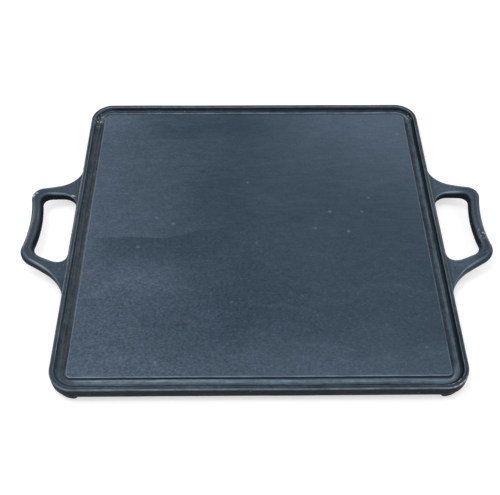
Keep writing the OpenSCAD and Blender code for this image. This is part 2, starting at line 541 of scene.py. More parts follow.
def cast_grain_group(name):
    """Fine sand-casting grain: a height for bump and a tone that varies about one."""
    tree, given = new_group(name, {"Grains per Metre": 600.0, "Tone Range": 0.2, "Squeeze": 1.0})
    fine_share = 0.84
    coarse_share = 0.16
    coarse_scale = 0.22
    contrast = 4.0
    spot = object_place(tree) * combined(tree, given["Squeeze"], 1.0, 1.0)
    fine = spot.cloud(given["Grains per Metre"], detail=4.0, roughness=0.65)
    coarse = spot.cloud(given["Grains per Metre"] * coarse_scale, detail=2.0)
    height = fine * fine_share + coarse * coarse_share
    tone = (height - 0.5) * given["Tone Range"] * contrast + 1.0
    return put_out(tree, Height=height, Tone=tone)


def edge_wear_and_highlight_group(name):
    """Paler metal along edges, partly polished by handling and partly a painted highlight, broken up, and
    weaker where they face the rear.
    """
    tree, given = new_group(name, {"Colour": BLACK, "Worn Colour": WHITE, "Amount": 0.5})
    broken = object_place(tree).cloud(45.0, detail=4.0, roughness=0.6).ramp(0.3, 0.7, 0.35, 1.0)
    toward_rear = facing(tree).parts()[1]
    # Painted highlight: edges that face the rear get less of the pale colour.
    used = broken * toward_rear.ramp(-0.15, 0.35, 1.0, 0.30)
    worn = (mark(tree, EDGE) * used * given["Amount"]).clamped()
    return put_out(tree, Colour=blend(tree, worn, given["Colour"], given["Worn Colour"]), Mask=worn)


def soot_and_shade_group(name):
    """Blackening from the fire and painted shade on walls, undersides and steep sides, fading out on surfaces
    that face up, with brown patches, and more brown low down as a painted reflection of the ground.
    """
    tree, given = new_group(name, {
        "Colour": BLACK, "Soot Colour": BLACK, "Rust Colour": BLACK, "Amount": 1.0, "Rust Amount": 1.0,
    })
    unevenness = 0.25
    spot = object_place(tree)
    height = spot.parts()[2]
    up = facing(tree).parts()[2]
    uneven = (spot.cloud(60.0, detail=4.0) - 0.5) * unevenness
    # Painted shade: the less a surface faces up, the darker it is made.
    soot_and_shade_mask = ((up + uneven).ramp(0.58, 0.95, 1.0, 0.0) * given["Amount"]).clamped()
    # Painted reflection of the ground: more brown towards the rim's foot.
    low = height.ramp(RIM_FOOT + 5 * MM, RIM_FOOT, 0.0, 0.30)
    rust_and_reflection_patches = spot.cloud(26.0, detail=5.0, roughness=0.65) + low
    rust_and_reflection_mask = rust_and_reflection_patches.ramp(0.52, 0.80, 0.10, 1.0) * given["Rust Amount"]
    burnt = blend(tree, rust_and_reflection_mask, given["Soot Colour"], given["Rust Colour"])
    return put_out(tree, Colour=blend(tree, soot_and_shade_mask, given["Colour"], burnt), Mask=soot_and_shade_mask)


def residue_and_shading_group(name):
    """Burnt deposits and painted shade in the fillets by the rim's inner wall and the step, painted light on
    that wall, and along the gutter's floor streaks of dried fat, painted shade and a pale painted sheen.
    """
    colours = ("Colour", "Grease Colour", "Fat Colour", "Ash Colour", "Tarnish Colour")
    tree, given = new_group(name, dict.fromkeys(colours, BLACK))
    place_on = object_place(tree)
    x, y, _ = place_on.parts()
    across = mark(tree, ACROSS)
    hollow = mark(tree, HOLLOW)
    edge_in = WALL_Y - 35 * MM
    edge_out = WALL_Y - 13 * MM
    front = y.ramp(-edge_in, -edge_out)
    rear = y.ramp(edge_in, edge_out)
    left = x.ramp(-edge_in, -edge_out)
    right = x.ramp(edge_in, edge_out)
    along_scale = 20.0
    across_scale = 3.9
    stretched = combined(tree, x * along_scale, y * along_scale, across * across_scale)

    # Painted light makes the inner wall lighter at the left, faintly at the rear and along a line near its
    # top at the rear, than at the right
    inside = across.ramp(-0.80, -0.55)
    rear_line = across.ramp(-0.72, -0.65) * across.ramp(-0.54, -0.62)
    wall_light_left, wall_light_line, wall_light_rear = 0.60, 0.75, 0.18
    most_grease = 0.85
    line_highlight = 0.5
    rear_shift = 0.16
    painted_wall_light = inside * larger(left * wall_light_left, rear * larger(rear_line * wall_light_line, wall_light_rear))
    from_rim = across - rear * rear_shift
    bed = from_rim.ramp(-0.20, 0.08) * across.ramp(1.08, 0.85)
    # Burnt deposits and painted shade darken the concave fillets off the gutter's floor, less where painted
    # light falls on the inner wall.
    off_bed = (hollow * (1.0 - bed)).clamped()
    grease_and_shade_mask = off_bed * (most_grease - painted_wall_light)
    base = blend(tree, grease_and_shade_mask, given["Colour"], given["Grease Colour"])
    # A painted highlight in the pale sheen colour runs along the top of the rear inner wall.
    base = blend(tree, rear * rear_line * line_highlight, base, given["Ash Colour"])

    # Streaks of fat lie on the floor; painted shade darkens it beside the step, at the front also beside the
    # rim, and at the left also in its middle
    left_fat = 0.5
    fat_matte = 0.6
    on_bed = bed * hollow
    streaks = stretched.cloud(1.0, roughness=0.6).ramp(0.40, 0.62) * right.ramp(0.0, 1.0, 1.0, 0.3)
    fat = larger(streaks, left * left_fat) * on_bed
    base = blend(tree, fat, base, given["Fat Colour"])
    by_step = across.ramp(0.30, 0.72, 0.0, 0.53)
    at_front = larger(across.ramp(0.65, 0.0, 0.0, 0.60), across.ramp(0.72, 1.0, 0.0, 0.45))
    dip = across.ramp(0.06, 0.32) * across.ramp(0.66, 0.42, 0.0, 0.40)
    at_left = larger(dip, across.ramp(0.50, 0.80, 0.0, 0.42))
    painted_floor_shade = fade(left, fade(front, by_step, at_front), at_left)

    # A pale painted sheen lies along the front, along the rear towards the right, and faintly at the right
    front_share = x.ramp(-0.186, -0.165, 0.15, 1.0)
    rear_share = larger(x.ramp(0.02, 0.11, 0.12, 0.95), across.ramp(0.02, 0.22))
    right_share = across.ramp(0.55, 0.15, 0.0, 0.24)
    painted_sheen_mask = larger(front * front_share, rear * rear_share, right * right_share)
    patchy = stretched.cloud(3.0).ramp(0.30, 0.62, 0.40, 1.0)
    base = blend(tree, painted_sheen_mask * (patchy * on_bed), base, given["Ash Colour"])
    # The painted shade goes on in the dark crease colour.
    base = blend(tree, painted_floor_shade * on_bed, base, given["Grease Colour"])

    # Fine streaks run along the rim and the gutter, and the rim's top is darkened except at the rear
    finer = (1.3, 1.3, 4.0)
    left_dark = 0.18
    rear_dull, side_dull = 0.95, 0.45
    lines = (stretched * finer).cloud(1.0, detail=2.0).ramp(0.30, 0.70, 0.62, 1.38)
    blotches = place_on.cloud(150.0, detail=4.0).ramp(0.33, 0.67, 0.83, 1.17)
    near_rim = across.ramp(-1.6, -1.4)
    on_top = across.ramp(-0.60, -0.72) * near_rim
    dark_front = front * x.ramp(-0.09, 0.0, 0.18, 0.46)
    dark_right = right * y.ramp(0.06, -0.16, 0.06, 0.32)
    darker = larger(dark_front, dark_right, left * left_dark)
    lines = lines * blotches * (1.0 - darker * on_top)
    dull = larger(rear * rear_dull, larger(left, right) * side_dull)
    base = blend(tree, dull * on_top, base, given["Tarnish Colour"])
    streaked = blend(tree, near_rim, base, toned(tree, base, lines))
    matte = larger(fat * fat_matte, grease_and_shade_mask)
    wall = (near_rim - inside).clamped()
    return put_out(tree, Colour=streaked, Matte=matte, Wall=wall, Clean=painted_wall_light)


def specks_group(name):
    """A mask of scattered small specks, used for pale specks and sparkle on the cooking face, and for chips
    and painted glints on the cast skin.
    """
    tree, given = new_group(name, {
        "Cells per Metre": 20.0, "Speck Size": 0.02, "Rarity": 0.6, "Raggedness": 0.0,
    })
    core_share = 0.4
    softness = 0.03
    spot = object_place(tree)
    ragged = spot + spot.swirl(700.0, 2.0).scaled(given["Raggedness"])
    inputs = {"Vector": ragged, "Scale": given["Cells per Metre"]}
    cells = outputs_of(tree, add(tree, "ShaderNodeTexVoronoi", inputs))
    near = cells["Distance"].ramp(given["Speck Size"], given["Speck Size"] * core_share)
    chance = Value.of(tree, "ShaderNodeSeparateColor", {"Color": cells["Color"]}, "Red")
    chosen = chance.ramp(given["Rarity"], given["Rarity"] + softness)
    return put_out(tree, Mask=near * chosen)


EFFECTS = {
    "Cast Grain": cast_grain_group,
    "Edge Wear": edge_wear_and_highlight_group,
    "Soot": soot_and_shade_group,
    "Gutter Residue": residue_and_shading_group,
    "Specks": specks_group,
}


def use_effect(tree, name, inputs):
    """Places an effect's node group in a material. The first use builds it."""
    group = bpy.data.node_groups.get(name) or EFFECTS[name](name)
    return outputs_of(tree, add(tree, "ShaderNodeGroup", inputs, node_tree=group))


def specks(tree, cells_per_metre, speck_size, rarity, raggedness=0.0):
    """The mask of the specks with a material's own values."""
    return use_effect(tree, "Specks", {
        "Cells per Metre": cells_per_metre, "Speck Size": speck_size, "Rarity": rarity,
        "Raggedness": raggedness,
    })["Mask"]


# Materials

def new_material(name, **plain):
    """A material with only its shader, whose plain values are given by socket name with underscores."""
    material = bpy.data.materials.new(name)
    material.use_nodes = True
    shader = material.node_tree.nodes["Principled BSDF"]
    for socket, value in plain.items():
        shader.inputs[socket.replace("_", " ")].default_value = value
    return material, material.node_tree, shader


def finish_surface(tree, shader, colour_out, roughness, coat, height, depth):
    """Links a material's colour, roughness, oil film and bump to its shader."""
    bump = add(tree, "ShaderNodeBump", {"Height": height, "Strength": 1.0, "Distance": depth})
    connect(tree, colour_out, shader.inputs["Base Color"])
    connect(tree, roughness, shader.inputs["Roughness"])
    connect(tree, coat, shader.inputs["Coat Weight"])
    connect(tree, Value(tree, bump.outputs["Normal"]), shader.inputs["Normal"])


def soft_patch(spot, centre, reach):
    """A soft oval that is one at its centre and nought at its reach."""
    away = (spot - (*centre, 0.0)) * (1 / reach[0], 1 / reach[1], 0.0)
    return away.length().ramp(0.0, 1.0, 1.0, 0.0)


def wavy_dark_band(place_on):
    """A dark band with a sharp and wavy rear edge."""
    wave_height = 8 * MM
    x, y, _ = place_on.parts()
    wave = place_on.cloud(40.0) * wave_height
    behind = x.ramp(-0.105, -0.040, -0.0172, -0.0057) + wave - y
    body = behind.ramp(-0.0004, 0.0014) * behind.ramp(0.052, 0.003)
    ends = x.ramp(-0.184, -0.155) * x.ramp(-0.010, -0.075)
    return body * ends


# Light and dark areas of the cooking face as centre, reach and strength
FACE_PATCHES = (
    ((-0.215, 0.000), (0.200, 0.700), 0.58),
    ((0.200, 0.220), (0.270, 0.240), 1.00),
    ((0.020, -0.230), (0.500, 0.110), 0.64),
    ((-0.200, 0.200), (0.085, 0.085), 0.60),
    ((-0.130, -0.080), (0.065, 0.045), 0.20),
    ((-0.035, 0.050), (0.070, 0.070), -0.14),
    ((-0.005, -0.090), (0.075, 0.085), -0.14),
    ((-0.065, 0.160), (0.120, 0.026), -0.22),
    ((0.090, -0.168), (0.090, 0.070), 0.13),
    ((0.172, 0.105), (0.050, 0.080), 0.12),
)


def face_lightness(place_on):
    """How light the cooking face is, from nought to one: partly thinner seasoning and partly a painted
    reflection of the room.
    """
    sway = (0.07, 0.07, 0.0)
    cloudiness = 0.30
    smear_strength = 0.42
    wipe_strength = 0.22
    spot = place_on + place_on.swirl(14.0, 4.0) * sway
    total = 0.09
    for centre, reach, strength in FACE_PATCHES:
        total = soft_patch(spot, centre, reach) * strength + total
    total = total + (spot.cloud(18.0) - 0.5) * cloudiness
    total = total - wavy_dark_band(place_on) * smear_strength
    wiped = spot.turned(-24, (5.0, 80.0, 1.0)).cloud(1.0).ramp(0.5, 0.8)
    rubbed = place_on.turned(-3, (48.0, 270.0, 1.0)).cloud(1.0) - 0.5
    rub_share = place_on.parts()[1].ramp(-0.12, 0.02, 0.04, 0.50)
    return (total + wiped * wipe_strength + rubbed * rub_share).clamped()


def seasoned_face_material(name):
    """Oil-seasoned cooking face: blue-black and smoky, partly as painted reflection, with fine grain, specks,
    a polished edge that also carries a painted highlight, and painted shade at its rear edge and step.
    """
    made, tree, shader = new_material(name, Specular_IOR_Level=0.14, Coat_Roughness=0.30)
    speck_strength = 0.36
    oil_film = 0.10
    grain_depth = 0.12 * MM
    paint = finish_colours()
    place_on = object_place(tree)
    x, y, z = place_on.parts()
    rough_left = x.ramp(0.16, -0.16, 0.29, 0.50)
    rough_front = y.ramp(0.06, -0.14, 0.72, 1.18)
    grain = use_effect(tree, "Cast Grain", {
        "Grains per Metre": 450.0, "Squeeze": 0.76, "Tone Range": rough_left * rough_front,
    })
    lightness = face_lightness(place_on)
    base = blend(tree, lightness, paint["face_dark"], paint["face_light"])
    # Painted shade: the raised plate's rear edge, which faces away from the light, is darkened.
    band_in = 1 + 3.0 * MM / GUTTER_WIDTH
    band_out = 1 + 1.9 * MM / GUTTER_WIDTH
    at_rear = y.ramp(RAISED_Y - 9 * MM, RAISED_Y - 4 * MM, 0.0, 0.85)
    rear_edge_shade = mark(tree, ACROSS).ramp(band_in, band_out) * at_rear
    base = toned(tree, blend(tree, rear_edge_shade, base, paint["soot"]), grain["Tone"])
    ash_specks = specks(tree, cells_per_metre=110.0, speck_size=0.30, rarity=0.955, raggedness=0.005)
    base = blend(tree, ash_specks * speck_strength, base, paint["worn"])
    sparkle = specks(tree, cells_per_metre=520.0, speck_size=0.42, rarity=0.86)
    base = blend(tree, sparkle * y.ramp(0.10, -0.12, 0.06, 0.26), base, paint["worn"])
    # Painted shade darkens the face's step and underside, which turn away from above, with the dark crease
    # colour.
    soot = use_effect(tree, "Soot", {
        "Colour": base, "Soot Colour": paint["grease"], "Rust Colour": paint["grease"],
        "Amount": z.ramp(FLOOR_Z - 1 * MM, UNDER_Z + 1 * MM, 0.48, 0.97),
    })
    # The pale edge line, partly a painted highlight, is strongest along the front edge.
    edge_mark_share = y.ramp(5 * MM - RAISED_Y, 3 * MM - RAISED_Y, 0.45, 0.90)
    wear_and_highlight = use_effect(tree, "Edge Wear", {
        "Colour": soot["Colour"], "Worn Colour": paint["worn"], "Amount": (edge_mark_share - rear_edge_shade).clamped(),
    })
    roughness = lightness.ramp(0.0, 1.0, 0.46, 0.58)
    coat = (1.0 - soot["Mask"]) * oil_film
    finish_surface(tree, shader, wear_and_highlight["Colour"], roughness, coat, grain["Height"], grain_depth)
    return made


# Places of painted glints on the rim and the handles as centre and reach: speckled ones, and small solid ones
SPARKLE_PLACES = (
    ((-0.1850, 0.1810), (0.012, 0.010)),
    ((-0.1920, 0.1720), (0.008, 0.012)),
    ((0.1890, 0.1770), (0.007, 0.011)),
    ((0.2412, -0.0190), (0.006, 0.016)),
    ((0.2340, -0.0440), (0.005, 0.003)),
)
GLINT_SPOTS = (
    ((-0.2475, 0.0380), (0.0036, 0.0034)),
    ((-0.2440, 0.0420), (0.0026, 0.0020)),
    ((-0.2062, 0.0480), (0.0034, 0.0020)),
)
GLINT_CORNER = ((0.1880, -0.1930), (0.020, 0.014))


def painted_glints(place_on):
    """Small painted glints at a few places, on surfaces that face up."""
    tree = place_on.tree

    def with_patches(total, places):
        for centre, reach in places:
            total = (soft_patch(place_on, centre, reach) + total).clamped()
        return total

    bright = specks(tree, cells_per_metre=360.0, speck_size=0.48, rarity=0.45, raggedness=0.003)
    speckled = bright * with_patches(0.0, SPARKLE_PLACES)
    broken = place_on.cloud(300.0, detail=2.0).ramp(0.40, 0.60)
    corner_glints = soft_patch(place_on, *GLINT_CORNER) * broken * mark(tree, EDGE).ramp(0.3, 0.8)
    total = with_patches((speckled + corner_glints).clamped(), GLINT_SPOTS)
    return total * facing(tree).parts()[2].ramp(-0.05, 0.25)


def cast_skin_material(name):
    """As-cast skin of the gutter, rim, handles and feet: oiled on top, blackened by the fire and by painted
    shade on its sides, with painted light, shade and glints.
    """
    made, tree, shader = new_material(name, Specular_IOR_Level=0.06, Coat_Roughness=0.16)
    most_soot = 0.95
    wall_bare = 0.08
    nick_and_glint_strength = 0.5
    oiled_roughness, matte_roughness = 0.42, 0.3
    oil_film = 0.40
    grain_share = 0.35
    skin_depth = 1.10 * MM
    paint = finish_colours()
    place_on = object_place(tree)
    x, y, _ = place_on.parts()
    from_middle = abs(x)
    arm_start = WALL_X + 1 * MM
    arm_full = WALL_X + 5 * MM
    grain = use_effect(tree, "Cast Grain", {"Grains per Metre": 380.0, "Tone Range": 0.35})
    mottle = place_on.cloud(34.0, detail=4.0).ramp(0.3, 0.7, 0.85, 1.2)
    darker_grips = from_middle.ramp(WALL_X + 24 * MM, WALL_X + 38 * MM, 1.0, 0.76)
    paler_web = x.ramp(arm_start, arm_full) * x.ramp(WALL_X + 36 * MM, WALL_X + 18 * MM, -0.06, 0.22)
    tone = grain["Tone"] * mottle * darker_grips * (paler_web + 1.0)
    residue_and_shading = use_effect(tree, "Gutter Residue", {
        "Colour": toned(tree, paint["skin"], tone), "Grease Colour": paint["grease"],
        "Fat Colour": paint["fat"], "Ash Colour": paint["ash"], "Tarnish Colour": paint["tarnish"],
    })
    # The front arms' outer faces get less of the dark colour and more brown.
    front_arm = from_middle.ramp(arm_start, arm_full) * y.ramp(-0.025, -0.045)
    rubbed = front_arm * x.ramp(-0.1, 0.1, 0.24, 0.48)
    # Less of the dark colour where painted light falls on the inner wall, a little on all walls, and on the
    # front arms.
    less_soot_and_shade = larger(residue_and_shading["Clean"], residue_and_shading["Wall"] * wall_bare, rubbed)
    soot = use_effect(tree, "Soot", {
        "Colour": residue_and_shading["Colour"], "Soot Colour": paint["soot"], "Rust Colour": paint["rust"],
        "Amount": most_soot - less_soot_and_shade, "Rust Amount": larger(residue_and_shading["Wall"], front_arm),
    })
    wear_and_highlight = use_effect(tree, "Edge Wear", {
        "Colour": soot["Colour"], "Worn Colour": paint["worn"], "Amount": 0.9,
    })
    # Pale specks, partly chips in the casting and partly painted glints.
    nicks_and_glints = specks(tree, cells_per_metre=140.0, speck_size=0.13, rarity=0.66, raggedness=0.003)
    with_nicks_and_glints = blend(tree, nicks_and_glints * nick_and_glint_strength, wear_and_highlight["Colour"], paint["worn"])
    with_painted_glints = blend(tree, painted_glints(place_on), with_nicks_and_glints, paint["glint"])
    matte = larger(soot["Mask"], residue_and_shading["Matte"])
    roughness = matte * matte_roughness + oiled_roughness
    coat = (1.0 - matte) * oil_film
    height = grain["Height"] * grain_share + place_on.cloud(95.0, detail=2.0)
    finish_surface(tree, shader, with_painted_glints, roughness, coat, height, skin_depth)
    return made


# The materials by the slot that they fill
FINISHES = {
    "seasoned_face": ("Seasoned Face", seasoned_face_material),
    "cast_skin": ("Cast Skin", cast_skin_material),
}


def place(node, mesh, slot):
    """Puts a finished piece in the scene in place of its node, with its slot's material."""
    name, build = FINISHES[slot]
    mesh.materials.append(bpy.data.materials.get(name) or build(name))
    piece = bpy.data.objects.new(mesh.name, mesh)
    bpy.context.scene.collection.objects.link(piece)
    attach(piece, BODY)
    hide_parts(node)


# Pieces

def gutter_slope():
    """Slope of the gutter's dished floor at the rim, as a direction inwards and down."""
    sizes = bpy.context.scene.griddle_plate
    return Vector((GUTTER_WIDTH, -PARABOLA * sizes.gutter_dish)).normalized()


def rim_section():
    """Cross-section of the rim as distance inwards, height, edge mark and hollow mark."""
    sizes = bpy.context.scene.griddle_plate
    slope = gutter_slope()
    joint = Vector((RIM_BAR, FLOOR_Z))
    gutter_corner = joint - slope * sizes.gutter_fillet
    top_outer = Vector((0, RIM_TOP))
    top_inner = Vector((sizes.rim_width, RIM_TOP))
    low_outer = Vector((0, RIM_FOOT))
    low_inner = Vector((RIM_BAR, RIM_FOOT))
    wall_up = (top_inner - gutter_corner).normalized()
    floor_on = (joint - gutter_corner).normalized()
    fillet = sizes.gutter_fillet * math.tan(wall_up.angle(floor_on) / 2)
    # The rim's top edges get a pale line, partly polished metal and partly a painted highlight.
    outer_edge_mark = 1.0
    inner_edge_mark = 0.8
    section = []

    def arc(before, corner, after, radius, edge=0.0, hollow=0.0):
        for step, point in enumerate(corner_arc(before, corner, after, radius, EDGE_STEPS)):
            crest = math.sin(math.pi * step / EDGE_STEPS)
            section.append((point.x, point.y, edge * crest, hollow))

    arc(joint, low_inner, low_outer, sizes.rim_lower_edge)
    arc(low_inner, low_outer, top_outer, sizes.rim_lower_edge)
    wall_low = RIM_FOOT + sizes.rim_lower_edge
    wall_high = RIM_TOP - sizes.rim_outer_edge
    for height in spread(wall_low, wall_high, WALL_STEPS)[1:-1]:
        section.append((0.0, height, 0.0, 0.0))
    arc(low_outer, top_outer, top_inner, sizes.rim_outer_edge, edge=outer_edge_mark)
    arc(top_outer, top_inner, gutter_corner, sizes.rim_inner_edge, edge=inner_edge_mark)
    arc(top_inner, gutter_corner, joint, fillet, hollow=1.0)
    return section


def lip_share(point):
    """How far the lip between a handle's arms stands out at a point of the rim's side walls."""
    sizes = bpy.context.scene.griddle_plate
    handle = bpy.context.scene.griddle_handle
    low = RIM_FOOT + handle.root_lift
    high = low + handle.root_thickness
    soft = 1.1 * MM
    run_out = 10 * MM
    wall_depth = 1 * MM
    along = smooth(sizes.lip_half + run_out, sizes.lip_half, abs(point.y))
    up = smooth(low - soft / 2, low + soft / 2, point.z) * smooth(high + soft, high - soft, point.z)
    on_wall = 1.0 if abs(point.x) > WALL_X - wall_depth else 0.0
    return along * up * on_wall


class GRIDDLE_OT_rim(bpy.types.Operator):
    """Make the rim with its lips between the handles' arms"""

    bl_idname = "griddle.rim"
    bl_label = "Rim"

    def execute(self, context):
        sizes = context.scene.griddle_plate
        skin = Skin()
        for inset, height, edge, hollow in rim_section():
            points = []
            for point in level(rim_outline(inset), height):
                point.x += math.copysign(lip_share(point) * sizes.lip, point.x)
                points.append(point)
            inner_foot = height < UNDER_Z and inset > RIM_BAR / 2
            across = OUTSIDE if inner_foot else (inset - RIM_BAR) / GUTTER_WIDTH
            skin.ring(points, edge, hollow, across)
        place("rim", skin.mesh("rim", closed=True, wobble=sizes.wobble), "cast_skin")
        return {"FINISHED"}


class GRIDDLE_OT_gutter(bpy.types.Operator):
    """Make the drip gutter with its dished floor"""

    bl_idname = "griddle.gutter"
    bl_label = "Drip gutter"

    def execute(self, context):
        sizes = context.scene.griddle_plate
        rim_side = rim_outline(RIM_BAR)
        step_side = raised_outline(0.0)

        def between(share, height):
            return level([here.lerp(there, share) for here, there in zip(rim_side, step_side)], height)

        skin = Skin()
        for share in spread(0, 1, DISH_STEPS):
            dish = PARABOLA * sizes.gutter_dish * share * (1 - share)
            skin.ring(between(share, FLOOR_Z - dish), hollow=1.0, across=share)
        for share in (1.0, 0.5, 0.0):
            skin.ring(between(share, UNDER_Z))
        place("drip_gutter", skin.mesh("drip_gutter", closed=True, wobble=sizes.wobble), "cast_skin")
        return {"FINISHED"}


class GRIDDLE_OT_cooking_plate(bpy.types.Operator):
    """Make the raised cooking plate with its rounded edge and step"""

    bl_idname = "griddle.cooking_plate"
    bl_label = "Cooking plate"

    def execute(self, context):
        sizes = context.scene.griddle_plate
        slope = gutter_slope()
        joint = Vector((0, FLOOR_Z))
        foot = joint + Vector((slope.x, -slope.y)) * sizes.step_fillet
        head = Vector((foot.x + sizes.step_lean, FACE_Z))
        deep = Vector((RAISED_Y, FACE_Z))
        step_up = (head - foot).normalized()
        fillet = sizes.step_fillet * math.tan(step_up.angle((joint - foot).normalized()) / 2)
        middle_half = 2 * MM
        core = min(RAISED_X, RAISED_Y) - middle_half
        # The face's rounded edge gets a pale line, partly polished metal and partly a painted highlight.
        edge_mark_flat = 0.4 * MM
        edge_mark_from, edge_mark_full = 0.3, 0.8
        crowding = 1.3
        skin = Skin()

        def ring(inset, height, edge=0.0, hollow=0.0):
            skin.ring(level(raised_outline(inset), height), edge, hollow, 1 + inset / GUTTER_WIDTH)

        for inset in reversed(spread(0, core, UNDER_RINGS)):
            ring(inset, UNDER_Z)
        for point in corner_arc(joint, foot, head, fillet, EDGE_STEPS):
            ring(point.x, point.y, hollow=1.0)
        rounded = corner_arc(foot, head, deep, sizes.face_edge, EDGE_STEPS)
        for step, point in enumerate(rounded):
            ring(point.x, point.y, edge=smooth(edge_mark_from, edge_mark_full, step / EDGE_STEPS))
        ring(rounded[-1].x + edge_mark_flat, FACE_Z, edge=1.0)
        face_start = rounded[-1].x + 2 * edge_mark_flat
        for share in spread(0, 1, FACE_RINGS):
            ring(face_start + (core - face_start) * share ** crowding, FACE_Z)
        place("cooking_plate", skin.mesh("cooking_plate", closed=False, wobble=sizes.wobble), "seasoned_face")
        return {"FINISHED"}


def handle_half(wall, along_wall, corner, root_radius, bend_radius, bow):
    """Half of a handle's side from above: root at the wall, arm, corner, then half of the bowed grip."""
    lean = 2 * bow / (corner.y + bend_radius)
    root = corner_arc(along_wall, wall, corner, root_radius, FLARE_STEPS)
    bend = corner_arc(wall, corner, corner - Vector((lean, 1)), bend_radius, BEND_STEPS)
    arm = [root[-1].lerp(bend[0], step / ARM_STEPS) for step in range(1, ARM_STEPS)]
    middle = corner.x - bow
    end = bend[-1]
    grip = []
    for step in range(1, GRIP_STEPS + 1):
        share = 1 - step / GRIP_STEPS
        grip.append(Vector((middle + (end.x - middle) * share * share, end.y * share)))
    return root + arm + bend + grip


def handle_sides():
    """Matching points of a handle's outer side and its finger gap, from the rear root to the front root."""
    sizes = bpy.context.scene.griddle_handle
    lip = bpy.context.scene.griddle_plate.lip
    outer = handle_half(
        Vector((0, sizes.root_span / 2)), Vector((0, sizes.root_span)),
        Vector((sizes.reach, sizes.grip_span / 2)), sizes.flare, sizes.grip_corner, sizes.grip_bow,
    )
    gap = handle_half(
        Vector((lip, sizes.gap_near / 2)), Vector((lip, 0)),
        Vector((sizes.gap_reach, sizes.gap_far / 2)), sizes.gap_near_corner, sizes.gap_far_corner,
        sizes.gap_bow,
    )
    buried = 2.5 * MM
    first_outer, first_gap = outer[0], gap[0]
    starts = [Vector((-buried, 0)), Vector((0, 0)), Vector((lip / 3, 0)), Vector((2 * lip / 3, 0))]
    outer = [Vector((min(start.x, 0), first_outer.y)) for start in starts] + outer
    gap = [Vector((start.x, first_gap.y)) for start in starts] + gap
    pairs = list(zip(outer, gap))
    mirrored = [(Vector((a.x, -a.y)), Vector((b.x, -b.y))) for a, b in reversed(pairs[:-1])]
    return pairs + mirrored


def section_points(half_width, half_thickness, radius):
    """A rounded rectangle as across, up and edge mark, from one side over the top and back under."""
    points = []
    flat = half_width - radius
    tall = half_thickness - radius
    # The crest puts the pale edge line, partly a painted highlight, near the top of each upper rounding.
    ridge = 8.8
    sharpness = 14

    def quarter(start, side, rise, worn):
        for step in range(ROUND_STEPS + 1):
            angle = math.radians(start + 90 * step / ROUND_STEPS)
            out = math.cos(angle)
            up = math.sin(angle)
            crest = max(up, 0.0) ** sharpness * abs(out) * ridge if worn else 0.0
            points.append((side * flat + radius * out, rise * tall + radius * up, crest))

    def run(first, last, height):
        for value in spread(first, last, WEB_STEPS)[1:-1]:
            points.append((value, height, 0.0))

    quarter(0, 1, 1, True)
    run(flat, -flat, half_thickness)
    quarter(90, -1, 1, True)
    quarter(180, -1, -1, False)
    run(-flat, flat, -half_thickness)
    quarter(270, 1, -1, False)
    return points


def handle_skin(side):
    """The rings of one handle, on the side of the plate that side gives."""
    sizes = bpy.context.scene.griddle_handle
    root_share = 0.60
    grip_share = 0.94
    round_from, round_full = 0.10, 0.75
    root_clear = 3 * MM
    grip_from, grip_fade = 0.7, 0.75
    axis_start = RIM_FOOT + sizes.root_lift + sizes.root_thickness / 2
    slope = math.tan(sizes.rise)
    skin = Skin()
    for outer, inner in handle_sides():
        middle = (outer + inner) / 2
        across = (outer - inner).normalized()
        half_width = (outer - inner).length / 2
        out = min(max(middle.x / sizes.gap_reach, 0.0), 1.0)
        thick = (sizes.root_thickness + (sizes.grip_thickness - sizes.root_thickness) * out) / 2
        thick = min(thick, half_width)
        radius = thick * (root_share + (grip_share - root_share) * smooth(round_from, round_full, out))
        edge_mark_share = 1 - grip_fade * smooth(grip_from, 1.0, out)
        points = []
        edges = []
        for along, up, crest in section_points(half_width, thick, radius):
            spot = middle + across * along
            lift = 0.0
            if up > 0 and spot.x < sizes.root_fillet:
                near = sizes.root_fillet - max(spot.x, 0.0)
                lift = sizes.root_fillet - math.sqrt(sizes.root_fillet ** 2 - near ** 2)
            height = axis_start + max(spot.x, 0.0) * slope + up + lift * max(up, 0.0) / thick
            points.append((side * (WALL_X + spot.x), spot.y, height))
            edges.append(crest * smooth(0.0, root_clear, spot.x) * edge_mark_share)
        skin.ring(points, edges)
    return skin


class GRIDDLE_OT_handles(bpy.types.Operator):
    """Make the two loop handles"""

    bl_idname = "griddle.handles"
    bl_label = "Handles"

    def execute(self, context):
        rougher = 1.6
        wobble = rougher * context.scene.griddle_plate.wobble
        for node, side in (("left_handle", -1), ("right_handle", 1)):
            place(node, handle_skin(side).mesh(node, closed=False, wobble=wobble), "cast_skin")
        return {"FINISHED"}


def foot_outline(outer_radius, heel, shrink):
    """Outline of a foot round its corner's centre: a round outer side and two straight inner sides."""
    roundness = 16
    focus_offset = 7 * MM
    focus = Vector((focus_offset, focus_offset))
    points = []
    for step in range(FOOT_SIDES):
        angle = 2 * math.pi * step / FOOT_SIDES
        ray = Vector((math.cos(angle), math.sin(angle)))
        along = focus.dot(ray)
        radius = outer_radius - shrink
        reaches = [-along + math.sqrt(along ** 2 - focus.length_squared + radius ** 2)]
        for value, start in ((ray.x, focus.x), (ray.y, focus.y)):
            if value < 0:
                reaches.append((start + heel - shrink) / -value)
        reach = sum(value ** -roundness for value in reaches) ** (-1 / roundness)
        points.append(focus + ray * reach)
    return points


